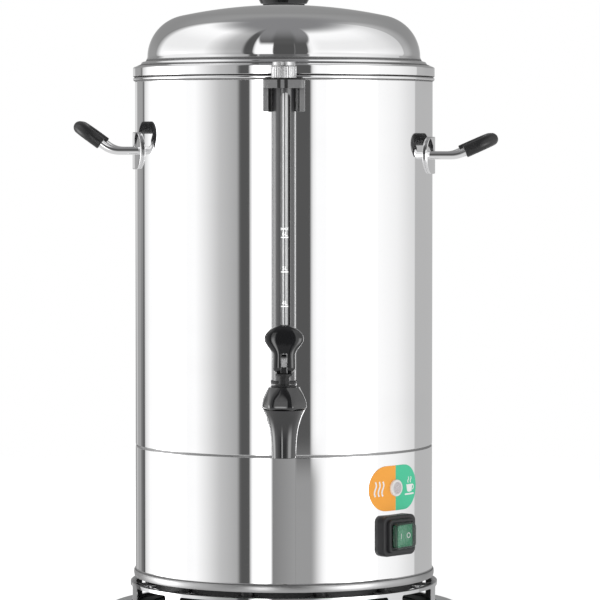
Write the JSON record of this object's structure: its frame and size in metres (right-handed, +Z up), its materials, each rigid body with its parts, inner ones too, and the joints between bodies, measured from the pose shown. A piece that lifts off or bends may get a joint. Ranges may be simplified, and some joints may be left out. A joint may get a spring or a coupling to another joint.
{
  "type": "coffee urn",
  "caption": "Polished steel electric coffee urn with a domed lift-off lid, sight gauge, lever tap, side handles, rocker switch and a lift-out percolator basket.",
  "frame": {"origin": "on the urn's axis at the table, the centre of the foot ring's flat face", "axes": "+Z up, -Y toward the tap at the front, +X toward the switch side, the viewer's right"},
  "size_m": [0.3206, 0.3095, 0.4967],
  "materials": {
    "polished_steel": "mirror polished",
    "satin_steel": "satin",
    "fastener_steel": "plain zinc",
    "black_gloss": "glossy moulded",
    "black_matte": "fine moulded grain",
    "grip_black": "dull sleeve",
    "foot_rubber": "dull",
    "seal_silicone": "soft translucent",
    "white_nylon": "moulded",
    "heater_alloy": "cast",
    "lead_red": "heat-proof sleeve",
    "brass": "plain",
    "gauge_glass": "clear tube",
    "rocker_green": "glossy",
    "boot_clear": "clear soft boot",
    "legend_print": "printed film",
    "lens_clear": "frosted lens"
  },
  "bodies": {
    "urn": {"base_plate": "satin_steel", "base_ring": "polished_steel", "bracket_screws": "fastener_steel", "foot_nuts": "fastener_steel", "foot_ring": "foot_rubber", "foot_screws": "fastener_steel", "gauge_bracket": "black_gloss", "gauge_guard": "black_gloss", "gauge_seals": "seal_silicone", "gauge_tube": "gauge_glass", "heater_block": "heater_alloy", "housing_floor": "black_matte", "indicator_label": "legend_print", "indicator_lamp": "black_matte", "indicator_lens": "lens_clear", "inlet_pins": "brass", "inlet_screws": "fastener_steel", "inlet_socket": "black_matte", "keep_warm_element": "heater_alloy", "left_handle_grip": "grip_black", "left_handle_plate": "polished_steel", "left_handle_rod": "polished_steel", "lower_housing": "polished_steel", "right_handle_grip": "grip_black", "right_handle_plate": "polished_steel", "right_handle_rod": "polished_steel", "ring_nuts": "fastener_steel", "ring_screws": "fastener_steel", "ring_spacers": "black_matte", "switch_bezel": "black_matte", "switch_boot": "boot_clear", "switch_case": "black_matte", "tank_floor": "satin_steel", "tank_shell": "polished_steel", "tap_body": "black_gloss", "tap_bonnet": "black_gloss", "tap_gaskets": "seal_silicone", "tap_nut": "white_nylon", "tap_spring": "fastener_steel", "terminal_block": "white_nylon", "thermostat": "white_nylon", "wiring_loom": "lead_red"},
    "lid": {"lid_shell": "polished_steel", "lid_knob": "black_gloss", "knob_washer": "foot_rubber", "knob_screw": "fastener_steel"},
    "pump": {"pump_tube": "satin_steel", "pump_foot": "satin_steel"},
    "valve": {"valve_disc": "brass"},
    "basket": {"basket_shell": "satin_steel", "basket_sieve": "satin_steel"},
    "spreader": {"spreader": "satin_steel"},
    "stem": {"tap_stem": "satin_steel", "seat_cup": "seal_silicone"},
    "lever": {"tap_lever": "black_gloss", "lever_pin": "satin_steel"},
    "rocker": {"switch_rocker": "rocker_green"},
    "gauge_cap": {"gauge_cap": "polished_steel"}
  },
  "joints": [
    {"name": "lid_lift", "type": "slide", "parent": "urn", "child": "lid", "axis": [0, 0, 1], "range_m": [0, 0.5]},
    {"name": "pump_lift", "type": "slide", "parent": "urn", "child": "pump", "axis": [0, 0, 1], "range_m": [0, 0.3]},
    {"name": "basket_lift", "type": "slide", "parent": "pump", "child": "basket", "axis": [0, 0, 1], "range_m": [0, 0.1]},
    {"name": "spreader_lift", "type": "slide", "parent": "basket", "child": "spreader", "axis": [0, 0, 1], "range_m": [0, 0.03]},
    {"name": "valve_lift", "type": "slide", "parent": "pump", "child": "valve", "axis": [0, 0, 1], "range_m": [0, 0.0015]},
    {"name": "stem_lift", "type": "slide", "parent": "urn", "child": "stem", "axis": [0, 0, 1], "range_m": [0, 0.0035], "deforming": ["tap_spring"]},
    {"name": "lever_tilt", "type": "hinge", "parent": "stem", "child": "lever", "pos_m": [0, -0.158, 0.206], "axis": [1, 0, 0], "range_deg": [0, 50], "stiffness_Nm_per_rad": 0.05, "springref_deg": -17.19},
    {"name": "rocker_rock", "type": "hinge", "parent": "urn", "child": "rocker", "pos_m": [0.0852, -0.07945, 0.0746], "axis": [0, 0, -1], "range_deg": [0, 16]},
    {"name": "cap_unscrew", "type": "slide", "parent": "urn", "child": "gauge_cap", "axis": [0, 0, 1], "range_m": [0, 0.03]}
  ],
  "couplings": [
    {"joint": "pump_lift", "follows": "lid_lift", "ratio": 0.6},
    {"joint": "basket_lift", "follows": "lid_lift", "ratio": 0.2},
    {"joint": "spreader_lift", "follows": "lid_lift", "ratio": 0.06},
    {"joint": "stem_lift", "follows": "lever_tilt", "m_per_rad": 0.004}
  ]
}
